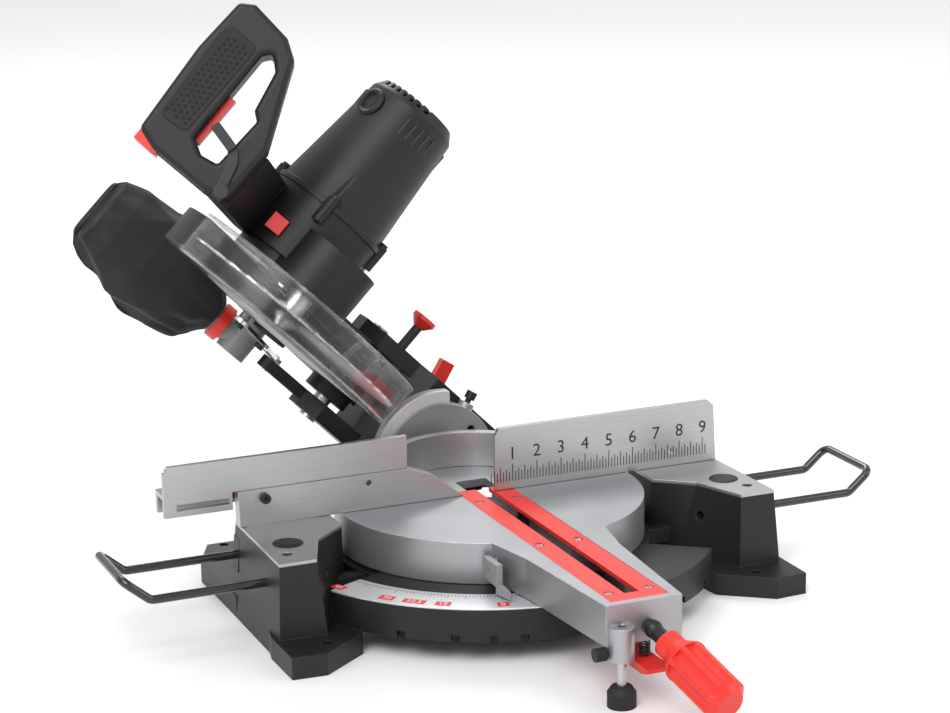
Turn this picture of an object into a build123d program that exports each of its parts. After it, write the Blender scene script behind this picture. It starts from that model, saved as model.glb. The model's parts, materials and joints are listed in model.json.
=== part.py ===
"""A 10-inch bevelling mitre saw, posed as it is set up for a left bevel: the head leans 45 degrees and is raised.

Lengths are millimetres. The base parts are drawn in the saw frame: X along the fence, Y from the user to the back
with 0 at the fence's face, Z up from the bench. The head parts are drawn upright and lowered, with x across the
blade, y to the back and z up from the table, and placed by lift() and lean().
"""

from build123d import *
from math import acos, atan2, cos, degrees, hypot, pi, radians, sin, sqrt, tan
import os

os.makedirs("parts", exist_ok=True)

# ---------------------------------------------------------------- driving dimensions
BENCH_Y = 10.0            # the bench bolts' centre lies this far behind the fence face
TABLE_H = 89.2            # table top above the bench
FENCE_HALF = 243.8        # fence half length
BOLT_X, BOLT_Y = 214.0, 147.0
BOLT_HOLE_R = 4.5
FOOT_H = 20.5

TURN_Y = -2.4             # mitre axis
TURN_R = 147.0
DRUM_LOW = 50.5           # underside of the turntable's rim
SCALE_R_IN, SCALE_R_OUT, SCALE_Z = 176.0, 213.8, 51.4
DETENTS = (0, 15, 22.5, 31.6, 45)
ARM_FRONT_Y = -329.0
ARM_HALF = 35.7
INSERT_HALF = 27.0
INSERT_T = 4.0
KERF_HALF = 7.0
KERF_FRONT_Y, KERF_BACK_Y = -306.0, 40.0
LOW_FENCE_TOP = 124.0
HIGH_FENCE_TOP = 150.0
SLIDE_LEFT, SLIDE_RIGHT, SLIDE_TOP = -317.0, -81.5, 155.8
WIRE_R, HOLE_GAP = 4.0, 0.05
WIRE_Z, WIRE_FRONT_Y, WIRE_BACK_Y = 60.0, -71.0, 14.0
WIRE_BEND_X, WIRE_TIP_X, WIRE_TIP_Z, WIRE_END_X = 353.0, 377.0, 80.0, 214.0

FLANGE_Y, FLANGE_T, FLANGE_R = 118.0, 16.0, 57.0
BEVEL_BOLT_R = 9.0
BEVEL_REST, CHOP_REST = 45.0, 46.0

PIVOT = (175.0, 115.0)    # chop pivot (y, z)
BLADE = (-20.0, 119.0)    # lowered blade centre (y, z)
BLADE_R = 127.0
GEAR_TEETH, PINION_TEETH, MODULE = 46, 11, 1.5
CENTRES = (GEAR_TEETH + PINION_TEETH) * MODULE / 2
MOTOR_TURN = radians(69.4)
MOTOR = (BLADE[0] + CENTRES * cos(MOTOR_TURN), BLADE[1] + CENTRES * sin(MOTOR_TURN))
UPPER_R_IN, UPPER_R_OUT = 129.0, 131.0
LOWER_R_IN, LOWER_R_OUT = 131.9, 134.3
LINK_PIVOT = (181.5, 179.7)
LINK_LENGTH, LINK_REST = 180.5, 142.73
CASE_X0, CASE_X1, MOTOR_X1 = 26.0, 100.0, 232.0
MOTOR_R0, MOTOR_R1 = 58.0, 46.0
GRIP_TURN = 109.5         # the handle loop's plane, as an angle in the y-z plane
GRIP_OUT = 100.0          # the handle plane's distance in front of the blade axis
BAG_MOUTH, BAG_TOP = (117.0, 198.0), (30.0, 345.0)
BAG_X = -36.0

# ---------------------------------------------------------------- placing
X, Y, Z = Vector(1, 0, 0), Vector(0, 1, 0), Vector(0, 0, 1)


LEAN = Pos(0, 0, TABLE_H) * Rot(0, -BEVEL_REST, 0)
LIFT = LEAN * Pos(0, *PIVOT) * Rot(-CHOP_REST, 0, 0) * Pos(0, -PIVOT[0], -PIVOT[1])


def group(shapes):
    """Several separate solids kept together."""
    solids = [solid for shape in shapes for solid in shape.solids()]
    return solids[0] if len(solids) == 1 else Compound(solids)


def lean(shape):
    """From the upright frame (z from the table) to the saw frame, leaning 45 degrees to the left."""
    return group([solid.moved(LEAN) for solid in shape.solids()])


def lift(shape):
    """From the lowered head frame to the raised pose, about the chop pivot, then leaned."""
    return group([solid.moved(LIFT) for solid in shape.solids()])


def save(name, shape):
    """Write one node in the row's frame, whose origin is the centre of the bench bolts."""
    moved = group([solid.moved(Pos(0, -BENCH_Y, 0)) for solid in shape.solids()])
    export_step(moved, f"parts/{name}.step")


# ---------------------------------------------------------------- shapes
def block(x0, x1, y0, y1, z0, z1):
    return Pos((x0 + x1) / 2, (y0 + y1) / 2, (z0 + z1) / 2) * Box(x1 - x0, y1 - y0, z1 - z0)


def rod(radius, start, end):
    """A cylinder between two points."""
    start, end = Vector(*start), Vector(*end)
    line = end - start
    plane = Plane(origin=start, z_dir=line)
    return plane * Cylinder(radius, line.length, align=(Align.CENTER, Align.CENTER, Align.MIN))


def up(radius, height):
    return Cylinder(radius, height, align=(Align.CENTER, Align.CENTER, Align.MIN))


def rod_x(radius, centre, x0, x1):
    return rod(radius, (x0, *centre), (x1, *centre))


def rod_y(radius, x, z, y0, y1):
    return rod(radius, (x, y0, z), (x, y1, z))


def rod_z(radius, x, y, z0, z1):
    return rod(radius, (x, y, z0), (x, y, z1))


def slab_z(points, z0, z1):
    """A plan outline raised from z0 to z1."""
    return extrude(Pos(0, 0, z0) * make_face(Polyline(*points, close=True)), z1 - z0)


def slab_x(points, x0, x1):
    """A (y, z) outline spread from x0 to x1."""
    face = make_face(Polyline(*[(x0, y, z) for y, z in points], close=True))
    return extrude(face, x1 - x0, dir=(1, 0, 0))


def slab_y(points, y0, y1):
    """An (x, z) outline spread from y0 to y1."""
    face = make_face(Polyline(*[(x, y0, z) for x, z in points], close=True))
    return extrude(face, y1 - y0, dir=(0, 1, 0))


def polar(centre, radius, angle):
    return (centre[0] + radius * cos(radians(angle)), centre[1] + radius * sin(radians(angle)))


def wedge(centre, radius, a0, a1, steps=24):
    """The points of a pie slice from angle a0 to a1."""
    arc = [polar(centre, radius, a0 + (a1 - a0) * i / steps) for i in range(steps + 1)]
    return [tuple(centre)] + arc


def sector_x(centre, r_in, r_out, a0, a1, x0, x1):
    """A ring sector about an axis along x, with round inner and outer faces."""
    ring = rod_x(r_out, centre, x0, x1)
    if r_in:
        ring = ring - rod_x(r_in, centre, x0 - 1, x1 + 1)
    reach = r_out / cos(radians((a1 - a0) / 48)) + 4
    return ring & slab_x(wedge(centre, reach, a0, a1), x0, x1)


def sector_z(centre, r_in, r_out, a0, a1, z0, z1):
    ring = rod_z(r_out, *centre, z0, z1)
    if r_in:
        ring = ring - rod_z(r_in, *centre, z0 - 1, z1 + 1)
    reach = r_out / cos(radians((a1 - a0) / 48)) + 4
    return ring & slab_z(wedge(centre, reach, a0, a1), z0, z1)


def mirror_x(shape):
    return mirror(shape, about=Plane.YZ)


def cap_screw_y(x, z, y_face, radius=4.5, length=14.0):
    """A socket cap screw whose head stands in front of y_face, its shank going back."""
    head = rod_y(radius, x, z, y_face - radius, y_face)
    socket = extrude(Plane(origin=(x, y_face - radius, z), z_dir=-Y) * RegularPolygon(radius * 0.5, 6), -2.5)
    return head - socket + rod_y(radius * 0.55, x, z, y_face, y_face + length)


def cap_screw_x(centre, x_face, side, radius=4.0, length=12.0):
    """A socket cap screw whose head stands out of x_face towards side (+1 or -1)."""
    head = rod_x(radius, centre, x_face, x_face + side * radius)
    top = Plane(origin=(x_face + side * radius, *centre), z_dir=X * side)
    head = head - extrude(top * RegularPolygon(radius * 0.5, 6), -2.2)
    return head + rod_x(radius * 0.55, centre, x_face, x_face - side * length)


# ---------------------------------------------------------------- base
TURN = (0.0, TURN_Y)
RING_A0, RING_A1 = -90.0 - 66.0, -90.0 + 52.0
RING_TOP = SCALE_Z - 1.5
PLATE_T = 3.0
TOWER_TOP = TABLE_H - PLATE_T
TOWER_PLAN = [(-243.8, 22), (-247, -111), (-212, -111), (-192, -59), (-159, -30), (-159, 22)]
TOWER_FOOT = [(-250, 30), (-252, -118), (-205, -122), (-163, -60), (-157, -30), (-157, 30)]
FRONT_FOOT = [(-245, -60), (-255, -104), (-255, -160), (-223, -162), (-177, -127), (-170, -60)]
REAR_FOOT = [(-250, 10), (-250, 118), (-229, 164), (-197, 164), (-172, 122), (-172, 10)]


def tower():
    """A hollow drafted tower with its front and rear feet."""
    low = make_face(Polyline(*TOWER_FOOT, close=True))
    high = Pos(0, 0, TOWER_TOP) * make_face(Polyline(*TOWER_PLAN, close=True))
    body = loft([low, high])
    hollow = slab_z([(-236, 15), (-239, -100), (-216, -100), (-198, -52), (-170, -24), (-170, 15)], -1, TOWER_TOP - 6)
    feet = slab_z(FRONT_FOOT, 0, FOOT_H) + slab_z(REAR_FOOT, 0, FOOT_H)
    rib = slab_y([(-246, FOOT_H), (-240, 62), (-170, 62), (-172, FOOT_H)], 22, 34)
    boss = rod(11, (-WIRE_END_X + 1, WIRE_FRONT_Y, WIRE_Z), (-241, WIRE_FRONT_Y, WIRE_Z))
    cheek = slab_y([(-248, 44), (-245, 76), (-205, 76), (-205, 44)], 8, 24)
    return body + feet + rib - hollow + cheek + boss


def base_casting():
    left = tower()
    for y in (WIRE_FRONT_Y, WIRE_BACK_Y):
        left = left - rod(WIRE_R + HOLE_GAP, (-153, y, WIRE_Z), (-262, y, WIRE_Z))
    for y in (-BOLT_Y + BENCH_Y, BOLT_Y + BENCH_Y):
        left = left - rod_z(BOLT_HOLE_R, -BOLT_X, y, -1, FOOT_H + 1)
    left = left - rod_z(CLAMP_R, -CLAMP_X, CLAMP_Y, 40, TABLE_H)
    floor = rod_z(128, *TURN, 34, 44)
    floor = floor + sector_z(TURN, 120, SCALE_R_OUT, RING_A0, RING_A1, RING_TOP - 7, RING_TOP)
    floor = floor + sector_z(TURN, 120, 152, -190, 10, RING_TOP - 12, RING_TOP - 3)
    skirt = sector_z(TURN, SCALE_R_OUT - 8, SCALE_R_OUT, RING_A0, RING_A1, 20, RING_TOP - 2)
    for side in (-1, 1):
        for detent in DETENTS:
            turn = radians(-90 + side * detent)
            notch = Rot(0, 0, degrees(turn)) * Box(26, 8, 9)
            skirt = skirt - Pos(208 * cos(turn), TURN_Y + 208 * sin(turn), 22) * notch
    ties = block(-240, 240, 14, 34, 24, 44) + block(-8, 8, -206, 20, 30, RING_TOP - 3)
    ties = ties + block(-175, 175, -48, -36, 30, RING_TOP - 5)
    hub = rod_z(30, *TURN, 30, 60)
    body = left + mirror_x(left) + floor + skirt + ties + hub
    body = body - rod_z(TURN_BOLT_R + HOLE_GAP, *TURN, 0, 90)
    return body - rod_z(18, *TURN, 20, 38)


CLAMP_X, CLAMP_Y, CLAMP_R = 231.5, -87.0, 5.0
TURN_BOLT_R = 8.0

save("base_casting", base_casting())


def table_plate():
    plate = slab_z(TOWER_PLAN, TOWER_TOP, TABLE_H)
    return plate - rod_z(CLAMP_R, -CLAMP_X, CLAMP_Y, TOWER_TOP - 1, TABLE_H + 1)


save("table_plates", group([table_plate(), mirror_x(table_plate())]))

scale_plate = sector_z(TURN, SCALE_R_IN, SCALE_R_OUT - 0.4, RING_A0 + 1, -84, RING_TOP, SCALE_Z)
save("mitre_scale", scale_plate - tower())

pivot_bolt = rod_z(TURN_BOLT_R, *TURN, 30, 78)
pivot_bolt = pivot_bolt + extrude(Pos(0, TURN_Y, 26) * RegularPolygon(13, 6), 4)
save("turntable_pivot_bolt", pivot_bolt)
FENCE_GAP = 0.4
ARCH = (-9.0, 18.0)
ARCH_R_IN, ARCH_R_OUT = 72.0, 80.0


def fixed_fence():
    """The low left fence, the high right fence and the round bridge that joins them behind the blade."""
    low, foot = TABLE_H + FENCE_GAP, TABLE_H
    left = slab_y([(-246, low), (-247, LOW_FENCE_TOP), (-81, LOW_FENCE_TOP), (-57, 115), (-25, low)], 0, 12)
    pad = block(-240, -172, 0, 20, foot, low + 4)
    ledge = block(-240, -84, 12, 20, low, 104)
    right = slab_y([(7.2, low), (8, 143), (12, HIGH_FENCE_TOP), (236, HIGH_FENCE_TOP), (241, 145), (243.8, low)], 0, 7)
    right = right - slab_z([(7, 2), (7, 8), (16, 8)], low - 1, HIGH_FENCE_TOP + 1)
    ribs = [slab_x([(6, low), (40, low), (40, low + 8), (6, HIGH_FENCE_TOP - 12)], x, x + 7) for x in (75, 150, 228)]
    shelf = block(60, 243, 6, 40, low, low + 7)
    right_pad = block(172, 240, 6, 20, foot, low + 4)
    arch = sector_z(ARCH, ARCH_R_IN, ARCH_R_OUT, -12, 192, low, LOW_FENCE_TOP)
    body = left + pad + ledge + right + shelf + right_pad + arch
    for rib in ribs:
        body = body + rib
    for x in (-222, -120, 195):
        body = body - rod_y(2.7, x, 115 if x < 0 else 104, -1, 9)
    return body


save("fixed_fence", fixed_fence())
save("fence_screws", group([cap_screw_y(-222, 115, -0.2, 4.8, 8)]))


def sliding_fence():
    """A plate on top of the low fence, with a slotted rail behind it."""
    gap = 0.4
    plate = block(SLIDE_LEFT + 4, SLIDE_RIGHT, 0, 5, LOW_FENCE_TOP + gap, SLIDE_TOP)
    plate = plate + block(SLIDE_LEFT, -250, 0, 5, 108, 150) - block(-252.5, -249, -1, 6, 107, LOW_FENCE_TOP + gap)
    plate = plate + block(SLIDE_LEFT + 2, SLIDE_LEFT + 6, 0, 5, 148, 153)
    bridge = block(SLIDE_LEFT, -150, 4, 27, LOW_FENCE_TOP + gap, LOW_FENCE_TOP + 5)
    rail = block(SLIDE_LEFT, -150, 21, 27, 108, LOW_FENCE_TOP + 5)
    slot = block(SLIDE_LEFT + 12, -255, -1, 6, 113.5, 119)
    back_slot = block(SLIDE_LEFT + 12, -160, 20, 28, 112, 119)
    return plate + bridge + rail - slot - back_slot


save("left_sliding_fence", sliding_fence())

CLAMP_SCREW_X, CLAMP_SCREW_Z = -216.0, 115.5
lever = rod_y(9, CLAMP_SCREW_X, CLAMP_SCREW_Z, 27.4, 37)
lever = lever + block(CLAMP_SCREW_X - 46, CLAMP_SCREW_X, 29, 36, CLAMP_SCREW_Z - 5, CLAMP_SCREW_Z + 5)
lever = lever + rod_y(2.9, CLAMP_SCREW_X, CLAMP_SCREW_Z, 12.05, 30)
save("fence_clamp_lever", lever)


def extension_loop():
    """A bent round wire: two straight legs, an upturned tip and a crossbar."""
    route = [
        (-WIRE_END_X, WIRE_BACK_Y, WIRE_Z),
        (-WIRE_BEND_X, WIRE_BACK_Y, WIRE_Z),
        (-WIRE_TIP_X, WIRE_BACK_Y, WIRE_TIP_Z),
        (-WIRE_TIP_X, WIRE_FRONT_Y, WIRE_TIP_Z),
        (-WIRE_BEND_X, WIRE_FRONT_Y, WIRE_Z),
        (-WIRE_END_X, WIRE_FRONT_Y, WIRE_Z),
    ]
    path = FilletPolyline(*route, radius=9)
    start = Plane(origin=route[0], z_dir=(-1, 0, 0))
    return sweep(start * Circle(WIRE_R), path=path)


save("left_extension_loop", extension_loop())
save("right_extension_loop", mirror_x(extension_loop()))

# ---------------------------------------------------------------- turntable
ARM_LOW = TABLE_H - 40.0
ARM_ROOT_HALF = 58.0
FOOT_X, FOOT_Y = -23.0, -333.0
LOCK_X, LOCK_Z = 4.0, 66.0


def rim_point(reach, turn):
    return (reach * cos(radians(turn)), FLANGE_Y + 8, TABLE_H + reach * sin(radians(turn)))


def turntable():
    """The round table with its front arm, trough, rear bevel flange and hub."""
    arm_plan = [(-ARM_HALF, ARM_FRONT_Y), (ARM_HALF, ARM_FRONT_Y), (46, -190), (ARM_ROOT_HALF, -130),
                (ARM_ROOT_HALF, -60), (-ARM_ROOT_HALF, -60), (-ARM_ROOT_HALF, -130), (-46, -190)]
    drum = rod_z(TURN_R, *TURN, DRUM_LOW, TABLE_H)
    inside = rod_z(TURN_R - 7, *TURN, DRUM_LOW - 1, TABLE_H - 8)
    body = drum - inside + rod_z(34, *TURN, 60.4, TABLE_H - 6)
    arm = slab_z(arm_plan, ARM_LOW + 3.5, TABLE_H)
    core_plan = [(x * 0.82, y + (6 if y < -300 else 0)) for x, y in arm_plan]
    core = slab_z(core_plan, ARM_LOW, TABLE_H - 9) - block(-60, 60, -152, -50, 40, 100)
    body = body + arm - core
    body = body + rod_y(12, LOCK_X, LOCK_Z, -329, -300) + block(-10, 20, -318, -306, ARM_LOW + 4, 82)
    body = body - block(-INSERT_HALF - 0.3, INSERT_HALF + 0.3, -321.8, 14.3, TABLE_H - INSERT_T, TABLE_H + 1)
    trough = block(-16, 16, KERF_FRONT_Y - 4, KERF_BACK_Y + 4, TABLE_H - 26, TABLE_H + 1)
    body = body - (trough - rod_z(34, *TURN, 40, TABLE_H - 16))
    body = body - block(-KERF_HALF, KERF_HALF, 0, KERF_BACK_Y + 4, TABLE_H - 18, TABLE_H + 1)
    flange = rod_y(FLANGE_R, 0, TABLE_H, FLANGE_Y, FLANGE_Y + FLANGE_T) - block(-80, 80, 100, 150, 0, 52)
    body = body - rod_y(74, 0, TABLE_H, FLANGE_Y + FLANGE_T, 160) + flange
    for x in (-38, 38):
        body = body + slab_x([(96, TABLE_H - 4), (119, TABLE_H - 4), (119, TABLE_H + 24)], x - 3, x + 3)
    body = body - rod_y(BEVEL_BOLT_R + HOLE_GAP, 0, TABLE_H, 90, 150)
    body = body - rod_y(4.2, 33, TABLE_H + 27, 110, 140)
    body = body + rod(8, rim_point(54, 58), rim_point(62, 58)) - rod(3.05, rim_point(48, 58), rim_point(64, 58))
    body = body - rod_z(TURN_BOLT_R + HOLE_GAP, *TURN, 50, 78.5)
    lug = rod_z(11, FOOT_X, FOOT_Y, ARM_LOW - 8, ARM_LOW + 22) + block(-34, -12, -334, -322, ARM_LOW - 8, ARM_LOW + 22)
    body = body + lug - rod_z(4 + HOLE_GAP, FOOT_X, FOOT_Y, 30, ARM_LOW + 23)
    body = body - rod_y(LOCK_R + HOLE_GAP, LOCK_X, LOCK_Z, -340, -296)
    for x, y in INSERT_SCREWS:
        body = body - rod_z(1.6, x, y, TABLE_H - 9, TABLE_H)
    body = body + rod_x(5, (-262, 46), -24, -17) + rod_x(5, (-262, 46), 17, 24)
    for side in (-1, 1):
        body = body + block(min(side * 17, side * 24), max(side * 17, side * 24), -267, -257, 46, TABLE_H - 7)
    body = body - rod_x(2.5 + HOLE_GAP, (-262, 46), -26, 26)
    body = body - block(-16, 16, 106, FLANGE_Y, 70, 92)
    return body - rod_x(2.55, (FOOT_Y + 5, 47), -40, -27)


LOCK_R = 6.0
INSERT_SCREWS = [(x, y) for y in (-300, -160, -24) for x in (-19, 19)]

save("turntable", turntable())

insert = block(-INSERT_HALF, INSERT_HALF, -321.5, 14, TABLE_H - INSERT_T, TABLE_H - 0.2)
for side in (-1, 1):
    insert = insert - block(side * 19 - 3, side * 19 + 3, -165, -155, TABLE_H - 2, TABLE_H)
insert = insert - block(-KERF_HALF, KERF_HALF, KERF_FRONT_Y, 20, TABLE_H - 10, TABLE_H + 1)
for x, y in INSERT_SCREWS:
    insert = insert - rod_z(4.0, x, y, TABLE_H - 2.4, TABLE_H) - rod_z(1.8, x, y, TABLE_H - 9, TABLE_H)
save("kerf_insert", insert)


def insert_screw(x, y):
    head = rod_z(3.4, x, y, TABLE_H - 2.4, TABLE_H - 0.7)
    head = head - block(x - 0.4, x + 0.4, y - 3.5, y + 3.5, TABLE_H - 1.5, TABLE_H)
    return head + rod_z(1.6, x, y, TABLE_H - 8.8, TABLE_H - 2.4)


save("kerf_insert_screws", group([insert_screw(x, y) for x, y in INSERT_SCREWS]))

POINTER_X, POINTER_Y = -50.0, -160.0

pointer = block(-67, -60.5, -172, -142, 60, 80) + slab_z([(-67, -171), (-60.5, -171), (-62.5, -194)], 53.5, 62)
pointer = pointer + block(-61, -55, -150, -146, 62, 78) - rod_x(2.2, (-154, 70), -70, -50)
save("mitre_pointer", pointer)

# The mitre lock: a hexagonal shaft screwed through the arm's end, with a fluted handle that droops forward.
LOCK_AXIS = Vector(0.17, -0.93, -0.32).normalized()
LOCK_START = Vector(LOCK_X, -338, LOCK_Z)
lock_end = LOCK_START + LOCK_AXIS * 34
screw = rod_y(LOCK_R, LOCK_X, LOCK_Z, -338, -298) + Pos(*LOCK_START) * Sphere(8)
screw = screw + Plane(origin=LOCK_START, z_dir=LOCK_AXIS) * extrude(RegularPolygon(7.0, 6), 18)
screw = screw + rod(6, LOCK_START + LOCK_AXIS * 20, LOCK_START + LOCK_AXIS * 54)
save("mitre_lock_shaft", screw)

HANDLE_LONG, HANDLE_R = 74.0, 20.0


def lock_handle():
    neck = Pos(0, 0, -14) * Cylinder(12.5, 14, align=(Align.CENTER, Align.CENTER, Align.MIN))
    shoulder = Cone(12.5, HANDLE_R, 12, align=(Align.CENTER, Align.CENTER, Align.MIN))
    grip = Pos(0, 0, 12) * Cylinder(HANDLE_R, HANDLE_LONG - 20, align=(Align.CENTER, Align.CENTER, Align.MIN))
    tip = Pos(0, 0, HANDLE_LONG - 8) * Cone(HANDLE_R, HANDLE_R - 7, 8, align=(Align.CENTER, Align.CENTER, Align.MIN))
    body = neck + shoulder + grip + tip
    for i in range(8):
        flute = Rot(0, 0, 45 * i) * Pos(HANDLE_R + 4.2, 0, 14) * Cylinder(
            7.5, HANDLE_LONG, align=(Align.CENTER, Align.CENTER, Align.MIN))
        body = body - flute
    bore = Pos(0, 0, -20) * up(6 + HOLE_GAP, 48)
    return Plane(origin=lock_end, z_dir=LOCK_AXIS) * (body - bore)


save("mitre_lock_handle", lock_handle())

DETENT_AT = (-262, 46)
lever = block(-11, 11, -262, -246, 38, 52) + block(-11, 11, -344, -250, 31, 38.5)
lever = lever + slab_x([(-344, 31), (-356, 34), (-356, 38), (-340, 38.5)], -11, 11)
lever = lever + block(-4, 4, -250, -217.6, 38, 43) + rod_x(7, DETENT_AT, -16, 16) + rod_x(2.5, DETENT_AT, -25.5, 25.5)
save("detent_lever", lever)


def coil(radius, wire, turns, height, base, axis=(0, 0, 1)):
    """A round-wire spring."""
    pitch = height / turns
    path = Helix(pitch=pitch, height=height, radius=radius)
    start = Plane(origin=path @ 0, z_dir=path % 0)
    return Plane(origin=base, z_dir=axis) * sweep(start * Circle(wire), path=path, is_frenet=True)


save("detent_spring", coil(4.2, 0.8, 5, 11.6, (2, -326, 39.6)))

stem = rod_z(4, FOOT_X, FOOT_Y, 14, ARM_LOW + 14)
save("levelling_stem", stem)
rubber = rod_z(12.5, FOOT_X, FOOT_Y, 0, 13) + Pos(FOOT_X, FOOT_Y, 15.5) * Cone(12.5, 9, 5)
save("levelling_foot", rubber - rod_z(4, FOOT_X, FOOT_Y, 14, 20))
knob = rod_x(6, (FOOT_Y + 5, 47), -46, -36) + rod_x(2.5, (FOOT_Y + 5, 47), -36, -28)
save("foot_lock_knob", knob)

SCALE_BACK = FLANGE_Y + FLANGE_T
bevel_scale = rod_y(69, 0, TABLE_H, FLANGE_Y + 2, FLANGE_Y + 14) - rod_y(FLANGE_R + 0.2, 0, TABLE_H, 110, 140)
bevel_scale = bevel_scale & block(-80, 12, 110, 140, TABLE_H + 1, TABLE_H + 80)
save("bevel_scale", bevel_scale)


stop = rod(5.5, rim_point(66, 58), rim_point(74, 58)) + rod(3, rim_point(50, 58), rim_point(67, 58))
save("bevel_stop_bolt", stop)

# ---------------------------------------------------------------- bevel arm (drawn upright)
ARM_Y0 = SCALE_BACK + 0.4
EAR_LEFT, EAR_RIGHT = (-50.0, -32.0), (43.0, 60.0)
SHAFT_R = 9.0


def bevel_arm():
    disc = rod_y(60, 0, 0, ARM_Y0, ARM_Y0 + 18)
    neck = slab_x([(ARM_Y0 + 2, -46), (198, -40), (208, 40), (206, 78), (ARM_Y0 + 20, 78), (ARM_Y0 + 2, 50)], -50, 60)
    hollow = block(-30, 41, 160, 220, -60, 66)
    body = disc + neck - hollow
    for x0, x1 in (EAR_LEFT, EAR_RIGHT):
        body = body + slab_x([(148, 60), (206, 60), (200, 118), (186, 138), (164, 138), (150, 118)], x0, x1)
    tall = slab_x([(164, 130), (187, 130), (191, 180), (172, 182)], EAR_LEFT[0] + 6, EAR_LEFT[1])
    body = body + tall + rod_x(10, LINK_PIVOT, EAR_LEFT[0] + 6, EAR_LEFT[1])
    body = body - rod_x(SHAFT_R + HOLE_GAP, PIVOT, -60, 70) - rod_x(2.6, LINK_PIVOT, -60, -20)
    body = body - rod_y(BEVEL_BOLT_R + HOLE_GAP, 0, 0, 120, 230)
    body = body - rod_x(PIN_R + HOLE_GAP, PIN_AT, 40, 70)
    return body


PIN_R = 5.0
PIN_AT = (160.0, 92.0)
save("bevel_arm", lean(bevel_arm()))
bolt_whole = rod_y(BEVEL_BOLT_R, 0, 0, FLANGE_Y - 0.5, 219)
bolt_whole = bolt_whole + extrude(Plane(origin=(0, FLANGE_Y - 9, 0), z_dir=Y) * RegularPolygon(14, 6), 8.6)
save("bevel_pivot_bolt", lean(bolt_whole))
lever_hub = rod_y(16, 0, 0, 209, 223) - rod_y(BEVEL_BOLT_R + HOLE_GAP, 0, 0, 200, 220)
lever_arm = slab_y([(12, 12), (56, 16), (84, 22), (87, 8), (58, 1), (15, -4)], 212, 222)
save("bevel_lock_lever", lean(lever_hub + lever_arm))
save("chop_pivot_shaft", lean(rod_x(SHAFT_R, PIVOT, -53, 63)))
coil_shape = coil(13.5, 1.8, 5, 21, (20, *PIVOT), (1, 0, 0))
save("chop_spring", lean(coil_shape))

pin = rod_x(PIN_R, PIN_AT, 43.5, 86)
save("hold_down_pin", lean(pin))
knob = Plane(origin=(86.1, *PIN_AT), z_dir=X) * Cone(6, 13, 8, align=(Align.CENTER, Align.CENTER, Align.MIN))
knob = knob + rod_x(13, PIN_AT, 94.1, 98)
save("hold_down_knob", lean(knob))


def guard_link():
    """A bent flat bar from the bevel arm to the guard's side plate."""
    end = polar(LINK_PIVOT, LINK_LENGTH, LINK_REST)
    mid = polar(LINK_PIVOT, LINK_LENGTH * 0.52, LINK_REST + 3)
    bar = rod_x(9, LINK_PIVOT, -31.4, -27.4) + rod_x(8, end, -31.4, -27.4) + rod_x(8, mid, -31.4, -27.4)
    for a, b in ((LINK_PIVOT, mid), (mid, end)):
        turn = atan2(b[1] - a[1], b[0] - a[0])
        dy, dz = -6 * sin(turn), 6 * cos(turn)
        bar = bar + slab_x([(a[0] + dy, a[1] + dz), (b[0] + dy, b[1] + dz),
                            (b[0] - dy, b[1] - dz), (a[0] - dy, a[1] - dz)], -31.4, -27.4)
    bar = bar - rod_x(2.6, mid, -40, -20) - rod_x(2.6, end, -40, -20)
    return bar + rod_x(2.55, LINK_PIVOT, -45, -31) + rod_x(5, LINK_PIVOT, -27.5, -25.5), mid, end


link, link_mid, link_end = guard_link()
save("guard_link", lean(link))
screws = [cap_screw_x(p, -31.4, -1, 4.6, 4.0) for p in (link_mid, link_end)]
save("guard_link_screws", lean(group(screws)))

# ---------------------------------------------------------------- head (drawn upright and lowered)
U = Vector(0, cos(radians(GRIP_TURN)), sin(radians(GRIP_TURN)))
V = Vector(0, cos(radians(GRIP_TURN + 90)), sin(radians(GRIP_TURN + 90)))


def out(u, v):
    """A (y, z) point measured from the blade centre: u up along the grip plane and v out towards the user."""
    return (BLADE[0] + u * U.Y + v * V.Y, BLADE[1] + u * U.Z + v * V.Z)


REAR_EDGE = -22.0


def head_casting():
    """The upper guard over the blade, with a rear web to the pivot lug."""
    rim = sector_x(BLADE, UPPER_R_IN, UPPER_R_OUT, REAR_EDGE, 150, -14, 20)
    left = sector_x(BLADE, 0, UPPER_R_OUT - 1, -14, 150, -14, -12)
    right = sector_x(BLADE, 0, UPPER_R_OUT - 1, REAR_EDGE, 150, 18, 20)
    boss = rod_x(18, BLADE, -23.2, -12)
    body = rim + left + right + boss
    web = slab_x([(101, 74), (150, 88), (196, 92), (200, 120), (186, 140), (130, 158), (100, 165), (111, 130)], -14, 41)
    web = web - block(-2, 17.8, 80, 150, 96, 134)
    lug = rod_x(24, PIVOT, -26, 42)
    bridge = slab_x([(60, 120), (108, 80), (150, 90), (150, 150), (100, 165), (60, 170)], 20, 41)
    body = body + (web - rod_x(LOWER_R_OUT + 0.8, BLADE, -30, 20.1)) + lug
    body = body + (bridge - rod_x(LOWER_R_OUT + 0.8, BLADE, 0, 26))
    body = body + sector_x(BLADE, 74, 106, REAR_EDGE + 3, 34, 18, 28)
    spring_room = rod_x(17, PIVOT, 18, 42.5)
    body = body - spring_room - rod_x(SHAFT_R + HOLE_GAP, PIVOT, -40, 60)
    body = body - rod_x(15.5, BLADE, -30, -12.5) - rod_x(30, BLADE, 17, 21) - rod_x(BEARING_R, BLADE, 20, 26)
    port = slab_x([(98, 140), (134, 150), (134, 204), (104, 196), (102, 176)], -12, 12)
    body = body + (port - rod_x(LOWER_R_OUT + 0.8, BLADE, -30, 30))
    raised_spot = (PIVOT[0] + 6.1, PIVOT[1] - 26.8)
    return body - rod_x(PIN_R + 1, PIN_AT, 33, 43) - rod_x(PIN_R + 1.5, raised_spot, 33, 43)


BEARING_R = 15.0
casting = head_casting()
save("head_casting", lift(casting))


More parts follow.
